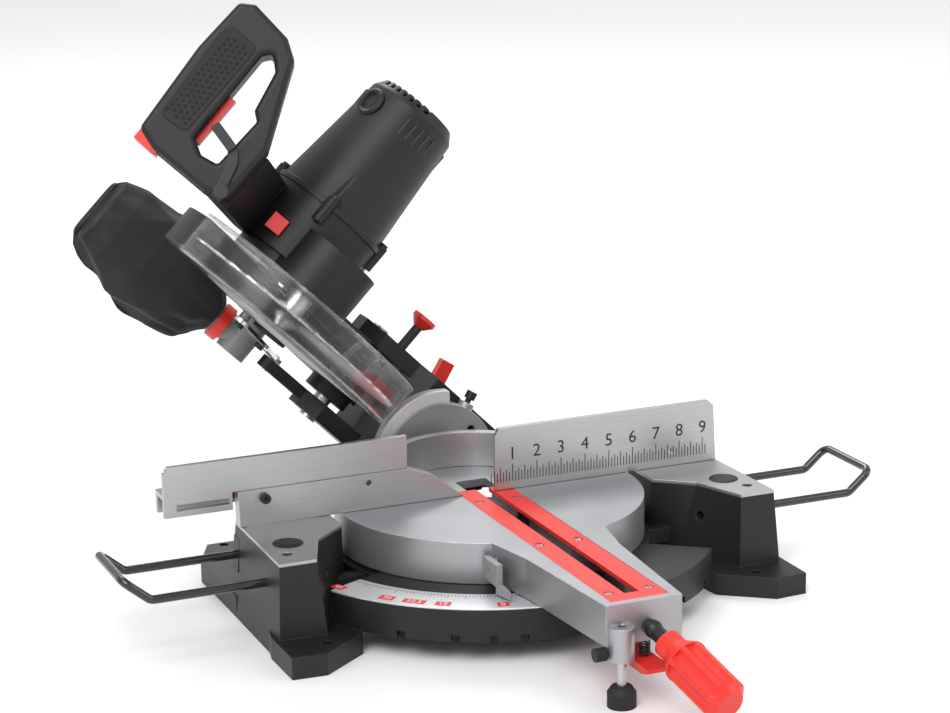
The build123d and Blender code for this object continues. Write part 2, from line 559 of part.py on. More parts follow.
MESH_X0, MESH_X1 = 62.0, 71.0
EARS = [polar(MOTOR, 58.5, a) for a in (20, 110, 200, 290)]


def gearcase():
    """The gear housing: a bulge around the spindle blended into the round motor end, with the handle's foot."""
    body = rod_x(MOTOR_R0, MOTOR, CASE_X0 + 14, CASE_X1) + rod_x(50, MOTOR, CASE_X0, CASE_X1)
    body = body + rod_x(44, BLADE, CASE_X0, 76)
    foot = [out(60, -20), out(78, 12), out(96, 81.9), out(122, 81.9), out(122, 50), out(92, -20)]
    body = body + slab_x(foot, 36, 94)
    body = body + slab_x([(-10, 112), (58, 120), (58, 170), (10, 208), (-20, 200)], 42, 92)
    for ear in EARS:
        body = body + rod_x(6, ear, 84, CASE_X1)
    body = body - rod_x(36.5, BLADE, MESH_X0 - 1, MESH_X1 + 1) - rod_x(44, MOTOR, 78, CASE_X1 + 1)
    body = body - rod_x(10.5, MOTOR, MESH_X0 - 1, MESH_X1 + 1) - rod_x(SEAT_R, MOTOR, 72, 79)
    body = body - rod_x(BEARING_R, BLADE, 28, 42) - rod_x(10, BLADE, 20, 60) - rod_x(8.5, BLADE, 60, 77)
    button = Plane(origin=(59, *out(58, 16)), x_dir=X, z_dir=V) * Box(17, 17, 40)
    for ear in EARS:
        body = body - rod_x(2.2, ear, 82, 101)
    return body - button


SEAT_R = 12.9
save("gearcase", lift(gearcase() - casting))
bearings = [rod_x(SEAT_R, MOTOR, x, x + 6.4) - rod_x(5, MOTOR, x - 1, x + 8) for x in (72.1, 214.0)]
bearings.append(rod_x(BEARING_R, BLADE, 29, 41) - rod_x(7.5, BLADE, 20, 50))
save("ball_bearings", lift(group(bearings)))

BRUSH_TURN = 46.0
BRUSH_X = 203.0
BRUSH_DIR = V * cos(radians(BRUSH_TURN)) + U * sin(radians(BRUSH_TURN))


def radial(shape, reach, side=1):
    """Stand a shape drawn along Z on the motor's wall, pointing out along the brush line."""
    origin = Vector(BRUSH_X, *MOTOR) + BRUSH_DIR * (reach * side)
    return Plane(origin=origin, x_dir=X, z_dir=BRUSH_DIR * side) * shape


def motor_housing():
    long = MOTOR_X1 - 10 - CASE_X1
    drop = (MOTOR_R0 - MOTOR_R1) / long
    outer = Plane(origin=(CASE_X1, *MOTOR), z_dir=X) * Cone(
        MOTOR_R0 - 1, MOTOR_R1, long, align=(Align.CENTER, Align.CENTER, Align.MIN))
    body = outer + rod_x(MOTOR_R0 + 1.5, MOTOR, CASE_X1, CASE_X1 + 5)
    for side in (1, -1):
        body = body + radial(up(12.5, 9), 40, side)
    for ear in EARS:
        body = body + rod_x(6, ear, CASE_X1, CASE_X1 + 10)
    body = body - rod_x(MOTOR_R1 - 3.2, MOTOR, CASE_X1 - 1, MOTOR_X1)
    for side in (1, -1):
        body = body - radial(up(8.2, 12), 38, side)
    for ear in EARS:
        body = body - rod_x(2.2, ear, 90, CASE_X1 + 12) - rod_x(5, ear, CASE_X1 + 10, CASE_X1 + 40)
    return body


save("motor_housing", lift(motor_housing()))


def motor_end_cover():
    cap = Plane(origin=(MOTOR_X1 - 10, *MOTOR), z_dir=X) * Cone(
        MOTOR_R1, MOTOR_R1 - 7, 10, align=(Align.CENTER, Align.CENTER, Align.MIN))
    cap = cap - rod_x(MOTOR_R1 - 8, MOTOR, MOTOR_X1 - 11, MOTOR_X1 - 3)
    cap = cap + rod_x(17, MOTOR, 213.5, MOTOR_X1 - 2) - rod_x(SEAT_R, MOTOR, 212, 221) - rod_x(6, MOTOR, 212, 228)
    for i in range(-3, 4):
        cap = cap - block(MOTOR_X1 - 6, MOTOR_X1 + 1, MOTOR[0] + 18, MOTOR[0] + 50, MOTOR[1] + 8 * i - 2, MOTOR[1] + 8 * i + 2)
        cap = cap - block(MOTOR_X1 - 6, MOTOR_X1 + 1, MOTOR[0] - 50, MOTOR[0] - 18, MOTOR[1] + 8 * i - 2, MOTOR[1] + 8 * i + 2)
    return cap


save("motor_end_cover", lift(motor_end_cover()))


def screw_for(ear):
    head = rod_x(4.6, ear, CASE_X1 + 10, CASE_X1 + 13)
    head = head - extrude(Plane(origin=(CASE_X1 + 13, *ear), z_dir=X) * RegularPolygon(2.3, 6), -2)
    return head + rod_x(2.2, ear, 86, CASE_X1 + 10)


save("housing_screws", lift(group([screw_for(ear) for ear in EARS])))


def brush_cap(side):
    cap = up(8.1, 3) - Pos(0, 0, 2) * Box(12, 1.8, 3)
    return radial(cap, 45.2, side)


save("brush_caps", lift(group([brush_cap(s) for s in (1, -1)])))
save("carbon_brushes", lift(group([radial(Pos(0, 0, 12) * Box(10, 6, 24), 15.5, s) for s in (1, -1)])))
stator = rod_x(MOTOR_R1 - 3.3, MOTOR, 124, 186) - rod_x(25.5, MOTOR, 120, 190)
save("stator", lift(stator))

# ---------------------------------------------------------------- running gear


def gear(teeth, bore, x0, x1, centre, turn):
    """A spur gear with stub teeth, thinned for backlash; turn is the direction of one tooth's middle."""
    pitch_r = teeth * MODULE / 2
    root, tip = pitch_r - 1.15 * MODULE, pitch_r + 0.78 * MODULE
    base = pitch_r * cos(radians(20))
    half = pi / 2 / teeth - 0.13 / pitch_r

    def spread(radius):
        """Half the tooth's angle at a radius, from the involute of a 20 degree rack."""
        inv = lambda a: tan(a) - a
        press = acos(min(1.0, base / radius))
        return half + inv(radians(20)) - inv(press)

    radii = [max(root, base), pitch_r - 0.3, pitch_r + 0.4, tip]
    points = []
    for i in range(teeth):
        mid = radians(turn) + 2 * pi * i / teeth
        low = spread(radii[0])
        side = [(root, low * 1.05)] + [(r, spread(r)) for r in radii]
        for r, a in side:
            points.append((centre[0] + r * cos(mid - a), centre[1] + r * sin(mid - a)))
        for r, a in reversed(side):
            points.append((centre[0] + r * cos(mid + a), centre[1] + r * sin(mid + a)))
    return slab_x(points, x0, x1) - rod_x(bore, centre, x0 - 1, x1 + 1)


mesh_line = degrees(MOTOR_TURN)
save("blade_gear", lift(gear(GEAR_TEETH, 8.0, MESH_X0, MESH_X1, BLADE, mesh_line)))

spindle = rod_x(7.45, BLADE, -1.3, 62) + rod_x(7.95, BLADE, 60, 71) + rod_x(12, BLADE, 7.2, 26)
save("blade_spindle", lift(spindle))


def blade():
    """A 40-tooth blade: a plate with gullets and a slightly wider tip on each tooth."""
    teeth = 40
    plate = rod_x(BLADE_R - 9, BLADE, -0.9, 0.9)
    points = []
    for i in range(teeth):
        a = 360 * i / teeth
        points += [polar(BLADE, BLADE_R - 9, a), polar(BLADE, BLADE_R - 1, a + 1.0), polar(BLADE, BLADE_R - 2.4, a + 5.2)]
    plate = plate + slab_x(points, -0.9, 0.9)
    for i in range(4):
        spot = polar(BLADE, BLADE_R - 12, 90 * i + 12)
        plate = plate - rod_x(2.2, spot, -2, 2)
    return plate - rod_x(7.46, BLADE, -2, 2)


def tip(a):
    return slab_x([polar(BLADE, BLADE_R - 7.5, a + 0.35), polar(BLADE, BLADE_R, a + 0.9),
                   polar(BLADE, BLADE_R - 0.5, a + 2.0), polar(BLADE, BLADE_R - 7.5, a + 1.5)], -1.3, 1.3)


saw = blade()
for i in range(40):
    saw = saw + tip(9 * i)
save("saw_blade", lift(saw))
clamping = [rod_x(24, BLADE, 0.95, 7.1) - rod_x(7.5, BLADE, 0, 8), rod_x(14, BLADE, -6.5, -1.35) - rod_x(4.1, BLADE, -8, 0)]
arbor_bolt = rod_x(8.6, BLADE, -11, -6.55) - extrude(Plane(origin=(-11, *BLADE), z_dir=-X) * RegularPolygon(4, 6), -3)
clamping.append(arbor_bolt + rod_x(4, BLADE, -6.55, -1.35))
save("arbor_flanges", lift(group(clamping)))


def armature():
    """Shaft, pinion, slotted core and commutator, turning as one."""
    core = rod_x(24.5, MOTOR, 124, 186)
    for i in range(12):
        core = core - rod_x(2.6, polar(MOTOR, 21.5, 30 * i), 120, 190)
    pinion = gear(PINION_TEETH, 4.5, MESH_X0, MESH_X1, MOTOR, mesh_line + 180 + 180 / PINION_TEETH)
    return rod_x(4.95, MOTOR, 61.2, 224) + core + pinion + rod_x(14.5, MOTOR, 192, 211)


save("armature", lift(armature()))
fan = rod_x(14, MOTOR, 104, 114) + rod_x(39, MOTOR, 112, 114) - rod_x(5, MOTOR, 100, 120)
for i in range(12):
    a, b = polar(MOTOR, 12, 30 * i), polar(MOTOR, 38.5, 30 * i + 14)
    c, d = polar(MOTOR, 38.5, 30 * i + 16.5), polar(MOTOR, 12, 30 * i + 8)
    fan = fan + (slab_x([a, b, c, d], 104, 112.5) - rod_x(5, MOTOR, 100, 120))
save("cooling_fan", lift(fan))

# ---------------------------------------------------------------- lower guard
GUARD_A0, GUARD_A1 = 147.0, 298.0


def lower_guard():
    """A U-section cover: a rim, a full left wall from the hub, and a narrow right flange."""
    body = sector_x(BLADE, LOWER_R_IN, LOWER_R_OUT, GUARD_A0, GUARD_A1, -18, 24)
    body = body + sector_x(BLADE, 18.4, LOWER_R_OUT - 0.5, GUARD_A0, GUARD_A1, -18, -16)
    body = body + sector_x(BLADE, 110, LOWER_R_OUT - 0.5, GUARD_A0, GUARD_A1, 22, 24)
    body = body + sector_x(BLADE, 18.05, 26, 105, 400, -18, -16)
    return body - rod_x(18.05, BLADE, -30, 0)


save("lower_guard", lift(lower_guard()))
EAR_TURN = 145.8
EAR_R = 32.55
plate = sector_x(BLADE, 18.4, 114, 162, 262, -20.7, -18.1) + sector_x(BLADE, 18.4, 42, 136, 170, -20.7, -18.1)
plate = plate + rod_x(4.8, polar(BLADE, EAR_R, EAR_TURN), -26.9, -20)
save("guard_side_plate", lift(plate))

# ---------------------------------------------------------------- handle
GRIP = Plane(origin=(0, *out(0, GRIP_OUT)), x_dir=X, z_dir=V)
LOOP = [(33, 118), (33, 176), (40, 197), (128, 204), (181, 202), (189, 190), (184, 149), (173, 132), (96, 98), (40, 98)]
HOLE = [(59, 124), (56, 140), (64, 154), (157, 156), (165, 150), (154, 138), (116, 130), (110, 122)]
HALF_T = 18.0


def loop_half(side):
    """One shell of the D handle, rounded on its outside edges."""
    ring = fillet(make_face(Polyline(*LOOP, close=True)).vertices(), 6)
    gap = fillet(make_face(Polyline(*HOLE, close=True)).vertices(), 3.5)
    half = extrude(ring - gap, HALF_T * side)
    rim = half.faces().sort_by(Axis.Z)[-1 if side > 0 else 0].edges()
    half = fillet(rim, 5.0)
    half = half - Pos(98, 179, 0) * Box(84, 24, 24) - Pos(87.5, 158, 0) * Box(51, 17.4, 13.4)
    return half - Pos(42, 184, 0) * Box(30, 25, 25)


halves = [loop_half(1), loop_half(-1)]
pad = GRIP * extrude(Pos(0, 0, HALF_T - 1) * fillet(make_face(Polyline((62, 163), (60, 190), (150, 196), (160, 192),
                                                     (160, 163), close=True)).vertices(), 6), 1.8)
save("handle_front_shell", lift(GRIP * halves[0] - pad))
save("handle_back_shell", lift(GRIP * halves[1]))
save("grip_pad", lift(pad))
save("switch_body", lift(GRIP * (Pos(118, 180, 0) * Box(34, 20, 20))))
save("trigger", lift(GRIP * (Pos(87.5, 154.5, 0) * Box(50.2, 11, 12.8))))
save("lock_off_button", lift(GRIP * (Pos(38.8, 184, 0) * Box(17, 24, 24))))
release = [(34, 100), (70, 110), (80, 118), (87, 147), (80, 149), (73, 124), (66, 119), (34, 110)]
release_lever = extrude(Pos(0, 0, HALF_T + 0.4) * make_face(Polyline(*release, close=True)), 3)
release_lever = release_lever + Pos(80, 134, HALF_T + 5) * Rot(0, 0, -14) * Box(9, 26, 6)
release_lever = release_lever + Pos(42, 106, HALF_T + 0.4) * up(7, 4)
save("guard_release_lever", lift(GRIP * release_lever))
button = Plane(origin=(59, *out(58, 25)), x_dir=X, z_dir=V) * Box(16, 16, 14)
save("spindle_lock_button", lift(button))

# ---------------------------------------------------------------- dust bag
bag_line = Vector(0, BAG_TOP[0] - BAG_MOUTH[0], BAG_TOP[1] - BAG_MOUTH[1]).normalized()
MOUTH = Vector(BAG_X, *BAG_MOUTH)
elbow = rod_x(16, BAG_MOUTH, -54, -12.1)
elbow = elbow + Plane(origin=MOUTH, z_dir=bag_line) * up(14, 34)
save("dust_elbow", lift(elbow))
collar = Plane(origin=MOUTH + bag_line * 20, z_dir=bag_line) * (up(19, 11) - up(14.05, 12))
save("dust_collar", lift(collar))
BAG_SECTIONS = [(34.4, 15, 15), (48, 32, 20), (75, 46, 28), (120, 50, 34), (165, 44, 28), (190, 26, 14)]
sections = []
for reach, wide, deep in BAG_SECTIONS:
    plane = Plane(origin=MOUTH + bag_line * reach + X * (reach * 0.03), x_dir=X, z_dir=bag_line)
    sections.append(plane * Ellipse(wide, deep))
save("dust_bag", lift(loft(sections)))
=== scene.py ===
"""The looks of a bevelling mitre saw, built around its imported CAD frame. Lengths are metres unless a name ends in _mm."""

import json
import math

import bpy
import numpy as np
from mathutils import Matrix, Vector


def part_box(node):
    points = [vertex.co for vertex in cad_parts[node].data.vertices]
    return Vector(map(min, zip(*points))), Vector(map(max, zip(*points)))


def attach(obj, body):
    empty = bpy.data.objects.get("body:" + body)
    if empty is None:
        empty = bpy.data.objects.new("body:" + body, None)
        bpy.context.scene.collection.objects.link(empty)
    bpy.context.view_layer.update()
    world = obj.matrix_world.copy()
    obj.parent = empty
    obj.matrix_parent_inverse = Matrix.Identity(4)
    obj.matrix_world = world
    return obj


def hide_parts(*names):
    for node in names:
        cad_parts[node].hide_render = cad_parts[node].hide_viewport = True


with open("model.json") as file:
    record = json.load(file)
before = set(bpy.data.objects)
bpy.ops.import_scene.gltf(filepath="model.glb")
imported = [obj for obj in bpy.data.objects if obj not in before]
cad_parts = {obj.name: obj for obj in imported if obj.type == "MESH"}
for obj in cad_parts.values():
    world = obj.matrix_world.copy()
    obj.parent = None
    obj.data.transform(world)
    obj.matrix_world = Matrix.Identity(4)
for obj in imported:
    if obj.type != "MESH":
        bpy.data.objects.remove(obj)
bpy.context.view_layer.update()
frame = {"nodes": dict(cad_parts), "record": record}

# ---------------------------------------------------------------- places on the saw
TABLE_MM = 89.2           # table height over the bench
BENCH_MM = 10.0           # the bolt pattern's centre lies this far behind the fence face
BEVEL, CHOP = math.radians(45), math.radians(46)
PIVOT = np.array([175.0, 115.0])
BLADE = np.array([-20.0, 119.0])
MOTOR = BLADE + 42.75 * np.array([math.cos(math.radians(69.4)), math.sin(math.radians(69.4))])
TURN_Y = -2.4
GRIP_TURN, GRIP_OUT = math.radians(109.5), 100.0
U = np.array([math.cos(GRIP_TURN), math.sin(GRIP_TURN)])
V = np.array([-math.sin(GRIP_TURN), math.cos(GRIP_TURN)])
BRUSH_TURN, BRUSH_X, BRUSH_OUT = math.radians(153.5), 203.0, 49.0
BAG_MOUTH, BAG_TOP, BAG_X = np.array([117.0, 198.0]), np.array([30.0, 345.0]), -36.0


def flat(points_mm):
    """Saw frame in millimetres to the row frame in metres: shifted so the bench bolts are centred."""
    p = np.asarray(points_mm, float)
    return (p - [0, BENCH_MM, 0]) / 1000


def lean(points_mm):
    """Upright head frame to the row frame: turned by the bevel about the table line, x' = (x - z, x + z) / sqrt 2."""
    p = np.asarray(points_mm, float)
    x = (p[..., 0] - p[..., 2]) * math.cos(BEVEL)
    z = TABLE_MM + (p[..., 0] + p[..., 2]) * math.sin(BEVEL)
    return flat(np.stack([x, p[..., 1], z], -1))


def lift(points_mm):
    """Lowered head frame to the row frame: turned back about the chop pivot, then leaned."""
    p = np.asarray(points_mm, float)
    y, z = p[..., 1] - PIVOT[0], p[..., 2] - PIVOT[1]
    c, s = math.cos(-CHOP), math.sin(-CHOP)
    return lean(np.stack([p[..., 0], PIVOT[0] + y * c - z * s, PIVOT[1] + y * s + z * c], -1))


def grip(points_mm):
    """Handle plane to the row frame: x across, u along the loop's plane and v out of it."""
    p = np.asarray(points_mm, float)
    yz = BLADE + p[..., 1:2] * U + (GRIP_OUT + p[..., 2:3]) * V
    return lift(np.concatenate([p[..., :1], yz], -1))


def around(centre, radius, turn, x):
    """A point at a radius and turn about a head axis: (x, cy + r cos t, cz + r sin t)."""
    radius, turn, x = np.broadcast_arrays(np.asarray(radius, float), turn, x)
    return np.stack([x, centre[0] + radius * np.cos(turn), centre[1] + radius * np.sin(turn)], -1)


# ---------------------------------------------------------------- node groups
def new_group(name, inputs, outputs):
    tree = bpy.data.node_groups.new(name, "ShaderNodeTree")
    for label, kind, value in inputs:
        tree.interface.new_socket(label, in_out="INPUT", socket_type=kind).default_value = value
    for label, kind in outputs:
        tree.interface.new_socket(label, in_out="OUTPUT", socket_type=kind)
    return tree, tree.nodes.new("NodeGroupInput"), tree.nodes.new("NodeGroupOutput")


def node(tree, kind, links=(), **settings):
    """A node with its settings, and its inputs linked or set by name or number."""
    made = tree.nodes.new(kind)
    for key, value in settings.items():
        setattr(made, key, value)
    for key, value in dict(links).items():
        if isinstance(value, bpy.types.NodeSocket):
            tree.links.new(value, made.inputs[key])
        else:
            made.inputs[key].default_value = value
    return made


def math_node(tree, operation, a, b=0.0):
    return node(tree, "ShaderNodeMath", {0: a, 1: b}, operation=operation).outputs[0]


def place(tree):
    return tree.nodes.new("ShaderNodeTexCoord").outputs["Object"]


def grain_group():
    """Fine grain: a coarse cloud shades it, and a fine noise gives its height."""
    tree, given, result = new_group("moulded_grain", [("Grain", "NodeSocketFloat", 900.0)],
                                    [("Shade", "NodeSocketFloat"), ("Height", "NodeSocketFloat")])
    cloud = node(tree, "ShaderNodeTexNoise", {"Vector": place(tree), "Scale": 24.0, "Detail": 5.0})
    fine = node(tree, "ShaderNodeTexNoise", {"Vector": place(tree), "Scale": given.outputs["Grain"],
                                             "Detail": 2.0})
    mixed = math_node(tree, "MULTIPLY_ADD", cloud.outputs["Fac"], 0.7)
    tree.links.new(math_node(tree, "MULTIPLY", fine.outputs["Fac"], 0.3), mixed.node.inputs[2])
    tree.links.new(mixed, result.inputs["Shade"])
    tree.links.new(fine.outputs["Fac"], result.inputs["Height"])
    return tree


def lines_group():
    """Tool lines: a noise stretched along the way the cutter went."""
    tree, given, result = new_group("tool_lines", [("Stretch", "NodeSocketVector", (40.0, 1500.0, 1500.0))],
                                    [("Shade", "NodeSocketFloat"), ("Height", "NodeSocketFloat")])
    scaled = node(tree, "ShaderNodeVectorMath", {0: place(tree), 1: given.outputs["Stretch"]},
                  operation="MULTIPLY")
    noise = node(tree, "ShaderNodeTexNoise", {"Vector": scaled.outputs[0], "Scale": 1.0, "Detail": 3.0})
    tree.links.new(noise.outputs["Fac"], result.inputs["Shade"])
    tree.links.new(noise.outputs["Fac"], result.inputs["Height"])
    return tree


def rings_group():
    """Turned rings: a noise along the distance from a centre."""
    tree, given, result = new_group("turned_rings", [("Centre", "NodeSocketVector", (0.0, 0.0, 0.0))],
                                    [("Shade", "NodeSocketFloat"), ("Height", "NodeSocketFloat")])
    gap = node(tree, "ShaderNodeVectorMath", {0: place(tree), 1: given.outputs["Centre"]},
               operation="DISTANCE")
    noise = node(tree, "ShaderNodeTexNoise", {"W": gap.outputs["Value"], "Scale": 1400.0, "Detail": 3.0},
                 noise_dimensions="1D")
    tree.links.new(noise.outputs[0], result.inputs["Shade"])
    tree.links.new(noise.outputs[0], result.inputs["Height"])
    return tree


def weave_group():
    """Cloth: warp and weft waves multiplied, with a soft cloud of wear."""
    tree, given, result = new_group("plain_weave", [("Threads", "NodeSocketFloat", 950.0)],
                                    [("Shade", "NodeSocketFloat"), ("Height", "NodeSocketFloat")])
    waves = []
    for direction in ("X", "Y", "Z"):
        waves.append(node(tree, "ShaderNodeTexWave",
                          {"Vector": place(tree), "Scale": given.outputs["Threads"], "Distortion": 0.6},
                          bands_direction=direction).outputs["Fac"])
    height = math_node(tree, "MAXIMUM", math_node(tree, "MULTIPLY", waves[0], waves[1]), waves[2])
    cloud = node(tree, "ShaderNodeTexNoise", {"Vector": place(tree), "Scale": 30.0, "Detail": 6.0})
    tree.links.new(cloud.outputs["Fac"], result.inputs["Shade"])
    tree.links.new(height, result.inputs["Height"])
    return tree


def wear_group():
    """Edge wear: where a rounded normal leaves the flat one, broken up by noise."""
    tree, given, result = new_group("edge_wear", [("Reach", "NodeSocketFloat", 0.0012)],
                                    [("Mask", "NodeSocketFloat"),
                                    ("Normal", "NodeSocketVector")])
    soft = node(tree, "ShaderNodeBevel", {"Radius": given.outputs["Reach"]}, samples=4)
    sharp = tree.nodes.new("ShaderNodeNewGeometry")
    same = node(tree, "ShaderNodeVectorMath", {0: soft.outputs[0], 1: sharp.outputs["Normal"]},
                operation="DOT_PRODUCT")
    edge = node(tree, "ShaderNodeMapRange", {"Value": same.outputs["Value"], "From Min": 0.97,
                                             "From Max": 0.75})
    noise = node(tree, "ShaderNodeTexNoise", {"Vector": place(tree), "Scale": 120.0, "Detail": 6.0})
    broken = node(tree, "ShaderNodeMapRange", {"Value": noise.outputs["Fac"], "From Min": 0.45,
                                               "From Max": 0.62})
    tree.links.new(math_node(tree, "MULTIPLY", edge.outputs[0], broken.outputs[0]), result.inputs["Mask"])
    tree.links.new(soft.outputs[0], result.inputs["Normal"])
    return tree


GROUPS = {"grain": grain_group(), "lines": lines_group(), "rings": rings_group(), "weave": weave_group()}
WEAR = wear_group()
BLADE_CENTRE = tuple(float(v) for v in lift([0, *BLADE]))


def finish(name, dark, light, rough, metal=0.0, pattern="grain", setting=None, bump=0.2, depth=0.0002,
           worn=None, **shader):
    """A material: two close tones by the pattern's shade, roughness with it, its height as bump, and worn edges."""
    material = bpy.data.materials.new(name)
    material.use_nodes = True
    tree = material.node_tree
    surface = tree.nodes["Principled BSDF"]
    made = node(tree, "ShaderNodeGroup", node_tree=GROUPS[pattern])
    if setting is not None:
        made.inputs[0].default_value = setting
    edges = node(tree, "ShaderNodeGroup", node_tree=WEAR)
    tone = node(tree, "ShaderNodeMix", {"Factor": made.outputs["Shade"]}, data_type="RGBA")
    tone.inputs[6].default_value = (*dark, 1)
    tone.inputs[7].default_value = (*light, 1)
    colour = tone.outputs[2]
    if worn:
        rubbed = node(tree, "ShaderNodeMix", {"Factor": edges.outputs["Mask"]}, data_type="RGBA")
        tree.links.new(colour, rubbed.inputs[6])
        rubbed.inputs[7].default_value = (*worn, 1)
        colour = rubbed.outputs[2]
    tree.links.new(colour, surface.inputs["Base Color"])
    ranged = node(tree, "ShaderNodeMapRange", {"Value": made.outputs["Shade"], "To Min": rough[0],
                                               "To Max": rough[1]})
    tree.links.new(ranged.outputs[0], surface.inputs["Roughness"])
    raised = node(tree, "ShaderNodeBump", {"Height": made.outputs["Height"], "Strength": bump,
                                           "Distance": depth,
                                           "Normal": edges.outputs["Normal"]})
    tree.links.new(raised.outputs[0], surface.inputs["Normal"])
    surface.inputs["Metallic"].default_value = metal
    for key, value in shader.items():
        surface.inputs[key.replace("_", " ")].default_value = value
    return material


FINISHES = {
    "black_cast": finish("black_powder_coat", (.005, .0055, .006), (.012, .0125, .0135), (.36, .5),
                         setting=700.0, bump=.35, worn=(.06, .06, .06),
                         Specular_IOR_Level=.4),
    "machined": finish("machined_aluminium", (.36, .365, .37), (.56, .565, .57), (.26, .42), .85, "lines",
                       (25., 1300., 1300.), .3),
    "cast_silver": finish("silver_casting", (.33, .335, .345), (.44, .445, .455), (.32, .44), .75,
                          setting=500.0, bump=.25, worn=(.75, .75, .75)),
    "scale_metal": finish("satin_scale", (.66, .67, .68), (.78, .79, .8), (.3, .4), .6, "lines",
                          (400., 400., 90.), .1),
    "steel": finish("turned_steel", (.42, .42, .43), (.6, .6, .61), (.22, .35), 1.0, "lines",
                    (60., 900., 900.), .2),
    "black_steel": finish("black_oxide", (.012, .012, .013), (.03, .03, .032), (.3, .45), .4,
                          setting=900.0),
    "black_wire": finish("gloss_black_wire", (.008, .008, .009), (.016, .016, .017), (.14, .24),
                         setting=300.0, bump=.05, Coat_Weight=.5),
    "red_plastic": finish("moulded_red", (.62, .018, .010), (.78, .03, .016), (.3, .42), setting=1100.0,
                          bump=.12, worn=(.8, .12, .08)),
    "black_plastic": finish("moulded_black", (.0055, .006, .0065), (.011, .0115, .0125), (.4, .54),
                            setting=1300.0, bump=.4, worn=(.02, .02, .021),
                            Specular_IOR_Level=.38),
    "rubber": finish("moulded_rubber", (.006, .006, .006), (.011, .011, .011), (.62, .8), setting=1500.0,
                     bump=.4),
    "grey_steel": finish("pressed_grey_plate", (.16, .165, .17), (.24, .245, .25), (.32, .45), .7,
                         setting=800.0, worn=(.5, .5, .5)),
    "blade_steel": finish("ground_blade", (.38, .385, .39), (.6, .605, .61), (.2, .36), 1.0, "rings",
                          BLADE_CENTRE, .25),
    "copper_iron": finish("laminated_iron", (.1, .05, .03), (.22, .12, .07), (.4, .6), .7, "lines",
                          (1500., 60., 1500.)),
    "fabric": finish("bag_cloth", (.004, .004, .0045), (.013, .013, .014), (.74, .9), pattern="weave",
                     bump=.5, depth=.0004,
                     Sheen_Weight=.12),
    "grey_plastic": finish("moulded_grey", (.20, .205, .21), (.28, .285, .29), (.38, .5), setting=1200.0),
    "bright": finish("plated_link", (.62, .63, .64), (.74, .75, .76), (.1, .22), 1.0, setting=200.0,
                     bump=.05),
    "carbon": finish("pressed_carbon", (.015, .015, .015), (.03, .03, .03), (.5, .7)),
}
INK = finish("scale_ink", (.008, .008, .008), (.016, .016, .016), (.45, .6))
TAG_RED = finish("tag_red", (.6, .02, .012), (.72, .03, .02), (.4, .5))
TAG_WHITE = finish("tag_white", (.75, .75, .75), (.85, .85, .85), (.4, .5))


def clear_material():
    material = bpy.data.materials.new("clear_polycarbonate")
    material.use_nodes = True
    tree = material.node_tree
    surface = tree.nodes["Principled BSDF"]
    haze = node(tree, "ShaderNodeGroup", node_tree=GROUPS["grain"])
    haze.inputs[0].default_value = 220.0
    ranged = node(tree, "ShaderNodeMapRange", {"Value": haze.outputs["Shade"], "To Min": .03, "To Max": .1})
    tree.links.new(ranged.outputs[0], surface.inputs["Roughness"])
    surface.inputs["Base Color"].default_value = (.88, .91, .92, 1)
    surface.inputs["Transmission Weight"].default_value = .95
    surface.inputs["IOR"].default_value = 1.45
    surface.inputs["Alpha"].default_value = .3
    return material


FINISHES["clear_plastic"] = clear_material()
for row in frame["record"]["subparts"]:
    holder = frame["nodes"][row["node"]]
    if not holder.material_slots:
        holder.data.materials.append(FINISHES[row["material_slot"]])
    for held in holder.material_slots:
        held.material = FINISHES[row["material_slot"]]


# ---------------------------------------------------------------- meshes from arrays
def merge(parts):
    """One mesh's points and faces from several, each part's face numbers shifted past the points before it."""
    points, faces, shift = [], [], 0
    for part_points, part_faces in parts:
        points.append(part_points)
        faces.extend([tuple(int(i) + shift for i in face) for face in part_faces])
        shift += len(part_points)
    return np.concatenate(points), faces


def piece(name, shape, body, slot, material=None, smooth=True):
    """A mesh object at the origin with its place in its mesh, riding on a body."""
    points, faces = shape
    mesh = bpy.data.meshes.new(name)
    mesh.from_pydata(np.asarray(points, float).reshape(-1, 3).tolist(), [],
                     [tuple(int(i) for i in face) for face in faces])
    mesh.update()
    mesh.shade_smooth() if smooth else mesh.shade_flat()
    made = bpy.data.objects.new(name, mesh)
    bpy.context.scene.collection.objects.link(made)
    mesh.materials.append(material or FINISHES[slot])
    if body:
        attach(made, body)
    return made


def grid_faces(rows, columns, round_rows=False, round_columns=False):
    """Quads of a grid of points numbered row by row, joined round where asked."""
    r = np.arange(rows if round_rows else rows - 1)[:, None]
    c = np.arange(columns if round_columns else columns - 1)[None, :]
    r2, c2 = (r + 1) % rows, (c + 1) % columns
    return np.stack([r * columns + c, r * columns + c2, r2 * columns + c2, r2 * columns + c],
                    -1).reshape(-1, 4)


def capped(points, flip=False):
    """A closed skin from rings of points (rows x columns), with a face over each end."""
    rows, columns = points.shape[:2]
    faces = [tuple(f) for f in grid_faces(rows, columns, round_columns=True)]
    faces += [tuple(range(columns))[::-1], tuple(range((rows - 1) * columns, rows * columns))]
    if flip:
        faces = [tuple(face[::-1]) for face in faces]
    return points.reshape(-1, 3), faces


def tube(path, radius, sides=10):
    """A round profile carried along a path: each ring stands square to the path there."""
    path = np.asarray(path, float)
    along = np.gradient(path, axis=0)
    along /= np.linalg.norm(along, axis=1, keepdims=True)
    span = np.linalg.svd(path - path.mean(0))[2][2]
    side = np.cross(along, span)
    side /= np.linalg.norm(side, axis=1, keepdims=True)
    other = np.cross(along, side)
    turn = np.linspace(0, 2 * np.pi, sides, endpoint=False)[None, :, None]
    rings = path[:, None] + radius * (np.cos(turn) * side[:, None] + np.sin(turn) * other[:, None])
    return capped(rings, flip=True)


